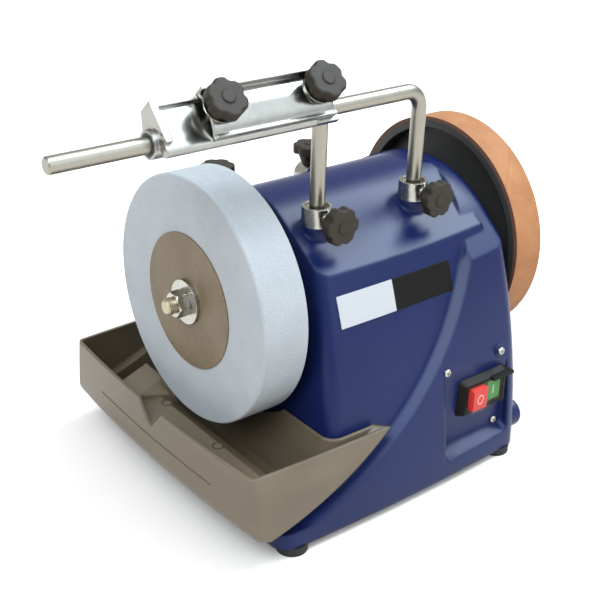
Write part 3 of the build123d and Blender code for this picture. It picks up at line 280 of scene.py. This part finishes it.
bpy.ops.mesh.fill_holes(sides=4)
bpy.ops.mesh.select_all(action="SELECT")
bpy.ops.mesh.normals_make_consistent(inside=False)
bpy.ops.object.mode_set(mode="OBJECT")
stub_thread.data.materials.append(shaft_steel)
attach(stub_thread, "spindle_set")


# Nuts: hexagon, zinc plated, turned down to a cone at both ends as real nuts are.
# One is shaped and copied; they hold the stone and the honing wheel.
def cut_by(piece, tool, operation):
    """Shape a piece with another one, which is then thrown away."""
    bpy.ops.object.select_all(action="DESELECT")
    bpy.context.view_layer.objects.active = piece
    cut = piece.modifiers.new("cut", "BOOLEAN")
    cut.object = tool
    cut.operation = operation
    cut.solver = "EXACT"
    bpy.ops.object.modifier_apply(modifier="cut")
    bpy.data.objects.remove(tool, do_unlink=True)


def pick(piece, kind, wanted):
    """Go to edit mode with just the faces or edges of a piece selected that are as wanted."""
    bpy.ops.object.select_all(action="DESELECT")
    piece.select_set(True)
    bpy.context.view_layer.objects.active = piece
    bpy.ops.object.mode_set(mode="EDIT")
    bpy.ops.mesh.select_mode(type=kind)
    bpy.ops.mesh.select_all(action="DESELECT")
    bpy.ops.object.mode_set(mode="OBJECT")
    for item in piece.data.polygons if kind == "FACE" else piece.data.edges:
        item.select = wanted(item)
    bpy.ops.object.mode_set(mode="EDIT")


def copy_of(piece, name, shift):
    """A finished piece again, with its own mesh, moved by a shift."""
    bpy.ops.object.select_all(action="DESELECT")
    piece.select_set(True)
    bpy.context.view_layer.objects.active = piece
    bpy.ops.object.duplicate()
    copy = bpy.context.object
    copy.name = name
    copy.location = shift
    bpy.ops.object.transform_apply(location=True, rotation=False, scale=False)
    return copy


def axle_bar(x, radius, length, sides):
    """A round or many-sided bar on the spindle line, from x towards the honing wheel."""
    bpy.ops.object.select_all(action="DESELECT")
    middle = (x + length / 2, 0, axle_z)
    bpy.ops.mesh.primitive_cylinder_add(
        vertices=sides, radius=radius, depth=length, location=middle, rotation=(0, pi / 2, 0)
    )
    bpy.ops.object.transform_apply(location=True, rotation=True, scale=True)
    return bpy.context.object


nut_low, nut_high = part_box("stone_nut")
nut_x = nut_low[0]
nut_l = nut_high[0] - nut_x
nut_corner_r = (nut_high[1] - nut_low[1]) / 2
nut_chamfer = 0.0013
nut_turned_off = 0.0001
nut_bore_gap = 0.00005
nut_smooth = radians(25)
stone_nut = axle_bar(nut_x, nut_corner_r, nut_l, 6)
stone_nut.name = "stone_nut_turned"
nut_drum = axle_bar(nut_x, nut_corner_r - nut_turned_off, nut_l, 64)
pick(nut_drum, "FACE", lambda face: abs(face.normal.x) > 0.9)
bpy.ops.mesh.bevel(offset=nut_chamfer, segments=1, affect="EDGES")
bpy.ops.object.mode_set(mode="OBJECT")
cut_by(stone_nut, nut_drum, "INTERSECT")
cut_by(stone_nut, axle_bar(nut_x - nut_l, thread_r + nut_bore_gap, 3 * nut_l, 48), "DIFFERENCE")
stone_nut.data.materials.clear()
stone_nut.data.materials.append(zinc)
stone_nut.select_set(True)
bpy.ops.object.shade_smooth_by_angle(angle=nut_smooth)
hone_nut = copy_of(stone_nut, "hone_nut_turned", (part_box("hone_nut")[0][0] - nut_x, 0, 0))
for nut, node in ((stone_nut, "stone_nut"), (hone_nut, "hone_nut")):
    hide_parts(node)
    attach(nut, "spindle_set")


# Grindstone: bonded grit, pale blue-grey, open pored and dead matte, with broken edges.
# Use has left faint patches on its face and streaks along its rim.
stone_grit, place, link = new_finish("bonded_grit", Specular_IOR_Level=0.2)
grit = place.noise(scale=850.0, detail=4.0)
patch = place.noise(scale=45.0, detail=3.0)
streak = place.stretched(1.0, 0.06, 0.06).noise(scale=420.0, detail=2.0)
tone = grit * 0.6 + patch * 0.25 + streak * 0.15
link(
    Base_Color=tone.between(0.25, 0.75).tint((0.268, 0.273, 0.277), (0.342, 0.348, 0.353)),
    Roughness=grit * 0.1 + 0.85,
    Normal=grit.bump(strength=0.3, distance=0.0004, edge_radius=0.0006),
)
dress(stone_grit, "grindstone")


# Plain disc on the stone: thin sheet with a dull brown lacquer, clamped under the washer.
# It is left blank.
disc_sheet, place, link = new_finish("disc_lacquer", Specular_IOR_Level=0.25)
fibre = place.noise(scale=260.0, detail=4.0)
scuff = place.noise(scale=30.0, detail=3.0)
wear = (fibre * 0.4 + scuff * 0.6).between(0.3, 0.7)
link(
    Base_Color=wear.tint((0.108, 0.074, 0.040), (0.146, 0.104, 0.062)),
    Roughness=fibre * 0.1 + 0.33,
    Normal=fibre.bump(strength=0.06, distance=0.0002, edge_radius=0.0004),
)
dress(disc_sheet, "stone_disc")


# Honing wheel: a dished black plastic hub with a strip of tan leather glued round it, flesh side out.
# The strip's ends meet in a slanting joint, and its cut edges are darker than its face.
black_moulding, place, link = new_finish("black_moulding", Specular_IOR_Level=0.35)
fleck = place.noise(scale=900.0, detail=3.0)
sink = place.noise(scale=25.0, detail=2.0)
link(
    Base_Color=fleck.tint((0.0200, 0.0185, 0.0175), (0.0330, 0.0310, 0.0290)),
    Roughness=sink * 0.12 + fleck * 0.1 + 0.38,
    Normal=fleck.bump(strength=0.05, distance=0.0002, edge_radius=0.0012),
)
dress(black_moulding, "hone_hub", "drive_wheel", "jig_bushes")

leather, place, link = new_finish("honing_leather", Specular_IOR_Level=0.25)
hide_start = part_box("hone_leather")[0][0]
joint_from = 0.006
joint_slant = radians(690.0)
joint_turn = radians(41.7)
joint_dark = 0.8
fibre = place.stretched(1.4, 1.0, 1.0).noise(scale=420.0, detail=5.0)
blotch = place.noise(scale=38.0, detail=4.0)
across = place.axis("X") - hide_start
turn = place.math("ARCTAN2", place.axis("Z") - axle_z, place.axis("Y") * -1.0)
joint_way = turn - (across - joint_from) * joint_slant - joint_turn
joint = 1.0 - joint_way.math("ABSOLUTE", joint_way).between(0.002, 0.008)
shade = (fibre * 0.4 + blotch * 0.6).between(0.3, 0.7) - joint * joint_dark
face_tan = shade.tint((0.262, 0.102, 0.038), (0.335, 0.148, 0.060))
cut_edge = fibre.tint((0.070, 0.030, 0.019), (0.125, 0.057, 0.036))
link(
    Base_Color=across.between(0.0001, 0.0006).tint(cut_edge, face_tan),
    Roughness=fibre * 0.15 + 0.62,
    Normal=(fibre - joint * 2.0).bump(strength=0.22, distance=0.0004, edge_radius=0.0006),
)
dress(leather, "hone_leather")


# Support bar: drawn round steel, satin nickel plated, bent to one post with a second post brazed on.
# Drawing left fine lines along it.
nickel, place, link = new_finish("satin_nickel", Metallic=1.0)
drawn = place.stretched(0.05, 1.0, 1.0).noise(scale=2500.0)
smear = place.noise(scale=40.0, detail=3.0)
link(
    Base_Color=(drawn * 0.5 + smear * 0.5).tint((0.25, 0.228, 0.186), (0.40, 0.372, 0.315)),
    Roughness=drawn * 0.1 + smear * 0.12 + 0.22,
    Normal=drawn.bump(strength=0.04, distance=0.0002, edge_radius=0.0006),
)
dress(nickel, "support_bar")


# Jig: a cast base with two sleeves round the bar and a bent sheet clamp over it, polished zinc.
# The casting is a little wavy, so its reflections wander.
polish, place, link = new_finish("polished_zinc", Metallic=1.0)
wave = place.noise(scale=110.0, detail=3.0)
hairline = place.stretched(0.08, 1.0, 1.0).noise(scale=1800.0, detail=2.0)
link(
    Base_Color=wave.tint((0.30, 0.288, 0.262), (0.40, 0.387, 0.355)),
    Roughness=wave * 0.1 + hairline * 0.12 + 0.1,
    Normal=wave.bump(strength=0.10, distance=0.001, edge_radius=0.0026),
)
dress(polish, "jig_base", "jig_clamp")


# Star knobs: black phenolic with a trace of brown, pressed and tumbled, so matte with soft edges.
# Four hold the studs in the collars and two press the jig's clamp down.
phenolic, place, link = new_finish("black_phenolic", Specular_IOR_Level=0.28)
fleck = place.noise(scale=1400.0, detail=3.0)
rub = place.noise(scale=140.0, detail=3.0)
link(
    Base_Color=(fleck * 0.6 + rub * 0.4).tint((0.0140, 0.0090, 0.0045), (0.0270, 0.0185, 0.0105)),
    Roughness=rub * 0.15 + fleck * 0.1 + 0.40,
    Normal=fleck.bump(strength=0.05, distance=0.0002, edge_radius=0.0018),
)
dress(
    phenolic,
    "jig_knob_left", "jig_knob_right", "post_knob_left", "post_knob_right",
    "rear_knob_left", "rear_knob_right",
)


# Bushes and switch terminals: sintered bronze and stamped brass, both a little dull.
# Only their ends can be seen, and those from below or behind.
bronze, place, link = new_finish("sintered_bronze", Metallic=1.0)
pore = place.noise(scale=900.0)
link(
    Base_Color=pore.tint((0.35, 0.22, 0.10), (0.48, 0.33, 0.16)),
    Roughness=pore * 0.2 + 0.3,
    Normal=pore.bump(strength=0.1, distance=0.0002, edge_radius=0.0003),
)
dress(bronze, "spindle_bushes", "switch_terminals")


# Trough: a grey-brown moulded tray that slides in round the stone, with a smooth rounded rim.
# The flow of the plastic shows faintly.
grey_moulding, place, link = new_finish("grey_moulding", Specular_IOR_Level=0.42)
flow = place.stretched(1.0, 0.4, 2.0).noise(scale=14.0, detail=4.0)
spark = place.noise(scale=2200.0, detail=2.0)
link(
    Base_Color=flow.between(0.3, 0.7).tint((0.094, 0.069, 0.042), (0.119, 0.089, 0.058)),
    Roughness=flow * 0.1 + spark * 0.06 + 0.28,
    Normal=spark.bump(strength=0.05, distance=0.0002, edge_radius=0.0020),
)
dress(grey_moulding, "trough")


# Ejector marks: shallow rings that the mould's pins left on the trough's ledge.
# One low disc with a sunk middle is shaped and copied, in the tray's own plastic.
ledge_z = 0.062
mark_r = 0.0046
mark_h = 0.0006
mark_wall = mark_r / 6
mark_sunk = mark_h * 0.7
mark_spots = ((-0.0976, 0.0208), (-0.0991, -0.0553))
mark_step = (mark_spots[1][0] - mark_spots[0][0], mark_spots[1][1] - mark_spots[0][1], 0)
bpy.ops.object.select_all(action="DESELECT")
bpy.ops.mesh.primitive_cylinder_add(
    vertices=40, radius=mark_r, depth=mark_h, location=(*mark_spots[0], ledge_z + mark_h / 2)
)
far_mark = bpy.context.object
far_mark.name = "ejector_mark_far"
bpy.ops.object.transform_apply(location=True, rotation=True, scale=True)
pick(far_mark, "FACE", lambda face: face.normal.z > 0.9)
bpy.ops.mesh.inset(thickness=mark_wall)
bpy.ops.transform.translate(value=(0, 0, -mark_sunk))
bpy.ops.object.mode_set(mode="OBJECT")
far_mark.data.materials.append(grey_moulding)
near_mark = copy_of(far_mark, "ejector_mark_near", mark_step)
for mark in (far_mark, near_mark):
    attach(mark, "trough")


# Switch: red and green caps under a clear rubbery cover, in a black bezel.
# Each cap carries a raised pale mark, a ring for off and a bar for on.
def cap_finish(name, low, high):
    """A slightly cloudy plastic between two colours."""
    material, place, link = new_finish(name, Specular_IOR_Level=0.25)
    depth = place.noise(scale=160.0, detail=3.0)
    link(
        Base_Color=depth.tint(low, high),
        Roughness=depth * 0.1 + 0.25,
        Normal=depth.bump(strength=0.03, distance=0.0003, edge_radius=0.0010),
    )
    return material


dark_switch, place, link = new_finish("switch_moulding", Specular_IOR_Level=0.12)
fleck = place.noise(scale=900.0, detail=3.0)
link(
    Base_Color=fleck.tint((0.0050, 0.0040, 0.0028), (0.0095, 0.0080, 0.0060)),
    Roughness=fleck * 0.15 + 0.42,
    Normal=fleck.bump(strength=0.05, distance=0.0002, edge_radius=0.0008),
)
dress(dark_switch, "switch_bezel", "switch_body", "switch_enclosure")

red_cap = cap_finish("red_cap", (0.50, 0.010, 0.005), (0.61, 0.016, 0.008))
green_cap = cap_finish("green_cap", (0.022, 0.150, 0.012), (0.034, 0.200, 0.018))
dress(red_cap, "stop_button")
dress(green_cap, "start_button")
pale_red = cap_finish("pale_red_mark", (0.72, 0.36, 0.30), (0.80, 0.46, 0.40))
pale_green = cap_finish("pale_green_mark", (0.42, 0.60, 0.40), (0.52, 0.68, 0.50))

stop_low, stop_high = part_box("stop_button")
mark_proud = 0.0003
ring_r = 0.0036
ring_tall = 1.25
ring_hole = (0.76, 1.0, 0.80)
stop_middle = ((stop_low[0] + stop_high[0]) / 2, stop_low[1] + mark_proud, (stop_low[2] + stop_high[2]) / 2)
bpy.ops.object.select_all(action="DESELECT")
bpy.ops.mesh.primitive_circle_add(
    vertices=40, radius=ring_r, fill_type="NOTHING", location=stop_middle, rotation=(pi / 2, 0, 0)
)
off_mark = bpy.context.object
off_mark.name = "off_mark"
off_mark.scale = (1.0, ring_tall, 1.0)
bpy.ops.object.transform_apply(location=True, rotation=True, scale=True)
bpy.ops.object.mode_set(mode="EDIT")
bpy.ops.mesh.select_all(action="SELECT")
bpy.ops.mesh.extrude_edges_indiv()
bpy.ops.transform.resize(value=ring_hole, center_override=stop_middle)
bpy.ops.mesh.select_all(action="SELECT")
bpy.ops.mesh.extrude_region_move(TRANSFORM_OT_translate={"value": (0, -2 * mark_proud, 0)})
bpy.ops.mesh.select_all(action="SELECT")
bpy.ops.mesh.remove_doubles(threshold=merge_gap)
bpy.ops.mesh.normals_make_consistent(inside=False)
bpy.ops.object.mode_set(mode="OBJECT")
off_mark.data.materials.append(pale_red)
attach(off_mark, "stop_button")

start_low, start_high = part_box("start_button")
bar_size = (0.0011, 2 * mark_proud, 0.0078)
bar_round = 0.00015
start_middle = ((start_low[0] + start_high[0]) / 2, start_low[1], (start_low[2] + start_high[2]) / 2)
bpy.ops.object.select_all(action="DESELECT")
bpy.ops.mesh.primitive_cube_add(size=1.0, location=start_middle)
on_mark = bpy.context.object
on_mark.name = "on_mark"
on_mark.scale = bar_size
bpy.ops.object.transform_apply(location=True, rotation=True, scale=True)
pick(on_mark, "EDGE", lambda edge: True)
bpy.ops.mesh.bevel(offset=bar_round, segments=2, affect="EDGES")
bpy.ops.object.mode_set(mode="OBJECT")
on_mark.data.materials.append(pale_green)
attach(on_mark, "start_button")

smoke = (0.22, 0.21, 0.19, 1.0)
clear_cover, place, link = new_finish("clear_cover", Base_Color=smoke, Specular_IOR_Level=0.4)
edge_on = place.make("ShaderNodeLayerWeight", {}, {"Blend": 0.2}, 1)
haze = place.noise(scale=120.0, detail=3.0)
link(
    Alpha=edge_on * 0.25 + haze * 0.02,
    Roughness=haze * 0.1 + 0.06,
    Normal=haze.bump(strength=0.02, distance=0.0003, edge_radius=0.0004),
)
dress(clear_cover, "switch_cover")


# Switch screws: zinc pan heads with a cross recess, driven through the panel into the enclosure.
# One is modelled with its shank and copied to the other three places.
screw_low, screw_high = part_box("switch_screws")
head_r = 0.0034
head_h = 0.0026
shank_l = 0.011
head_overhang = 0.0015
slot_size = (0.0038, head_h, 0.0010)
slot_turns = (20, 110)
screw_smooth = radians(30)
panel_y = screw_low[1] + head_h
screw_x = screw_low[0] + head_r
screw_z = screw_low[2] + head_r
across_x = screw_high[0] - head_r - screw_x
across_z = screw_high[2] - head_r - screw_z
bpy.ops.object.select_all(action="DESELECT")
bpy.ops.mesh.primitive_cylinder_add(
    vertices=32,
    radius=head_r,
    depth=head_h,
    location=(screw_x, panel_y - head_h / 2, screw_z),
    rotation=(pi / 2, 0, 0),
)
first_screw = bpy.context.object
first_screw.name = "panel_screw_low_left"
bpy.ops.object.transform_apply(location=True, rotation=True, scale=True)
pick(first_screw, "FACE", lambda face: face.normal.y < -0.9)
bpy.ops.mesh.bevel(offset=head_h / 2, segments=4, affect="EDGES")
bpy.ops.object.mode_set(mode="OBJECT")
pick(first_screw, "FACE", lambda face: face.normal.y > 0.9)
bpy.ops.mesh.inset(thickness=head_overhang)
bpy.ops.mesh.extrude_region_move(TRANSFORM_OT_translate={"value": (0, shank_l, 0)})
bpy.ops.object.mode_set(mode="OBJECT")
slot_place = (screw_x, panel_y - head_h, screw_z)
for turned in slot_turns:
    bpy.ops.object.select_all(action="DESELECT")
    bpy.ops.mesh.primitive_cube_add(size=1.0, location=slot_place, rotation=(0, radians(turned), 0))
    blade = bpy.context.object
    blade.scale = slot_size
    cut_by(first_screw, blade, "DIFFERENCE")
first_screw.select_set(True)
bpy.ops.object.shade_smooth_by_angle(angle=screw_smooth)
first_screw.data.materials.clear()
first_screw.data.materials.append(zinc)
screws = [
    first_screw,
    copy_of(first_screw, "panel_screw_low_right", (across_x, 0, 0)),
    copy_of(first_screw, "panel_screw_top_left", (0, 0, across_z)),
    copy_of(first_screw, "panel_screw_top_right", (across_x, 0, across_z)),
]
for screw in screws:
    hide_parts("switch_screws")
    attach(screw, "machine")


# Name plate: a thin printed sheet left blank, pale at the left and black at the right.
# It is stuck to the bowed front.
plate_sheet, place, link = new_finish("blank_plate", Specular_IOR_Level=0.10)
halves_meet = (0.0365, 0.0370)
print_grain = place.noise(scale=700.0, detail=2.0)
pale_half = print_grain.tint((0.345, 0.338, 0.345), (0.39, 0.382, 0.389))
dark_half = print_grain.tint((0.004, 0.0035, 0.003), (0.008, 0.007, 0.006))
link(
    Base_Color=place.axis("X").between(*halves_meet).tint(pale_half, dark_half),
    Roughness=print_grain * 0.08 + 0.3,
    Normal=print_grain.bump(strength=0.03, distance=0.0001, edge_radius=0.0004),
)
dress(plate_sheet, "name_plate")


# Motor: enamelled can with cast end bells, laminated stator and rotor, and the parts beside it.
# All of it is inside the housing and shows only from below.
enamel, place, link = new_finish("motor_enamel", Specular_IOR_Level=0.5)
peel = place.noise(scale=420.0, detail=2.0)
link(
    Base_Color=place.noise(scale=30.0).tint((0.040, 0.043, 0.048), (0.060, 0.062, 0.066)),
    Roughness=peel * 0.15 + 0.32,
    Normal=peel.bump(strength=0.08, distance=0.0003, edge_radius=0.0008),
)
dress(enamel, "motor_casing")

cast_alloy, place, link = new_finish("cast_alloy", Metallic=1.0)
skin = place.noise(scale=500.0, detail=3.0)
link(
    Base_Color=skin.tint((0.48, 0.48, 0.48), (0.64, 0.64, 0.65)),
    Roughness=skin * 0.2 + 0.38,
    Normal=skin.bump(strength=0.12, distance=0.0003, edge_radius=0.0006),
)
dress(cast_alloy, "motor_bells", "capacitor")

lamination, place, link = new_finish("laminated_iron", Metallic=0.9)
leaf = place.stretched(1.0, 0.0, 0.0).noise(scale=2200.0, detail=1.0)
link(Base_Color=leaf.tint((0.12, 0.12, 0.13), (0.28, 0.27, 0.26)), Roughness=leaf * 0.2 + 0.4)
dress(lamination, "motor_stator", "motor_rotor")

white_block, place, link = new_finish("block_plastic")
speck = place.noise(scale=600.0, detail=2.0)
link(Base_Color=speck.tint((0.66, 0.65, 0.61), (0.74, 0.73, 0.69)), Roughness=speck * 0.1 + 0.4)
dress(white_block, "terminal_block")
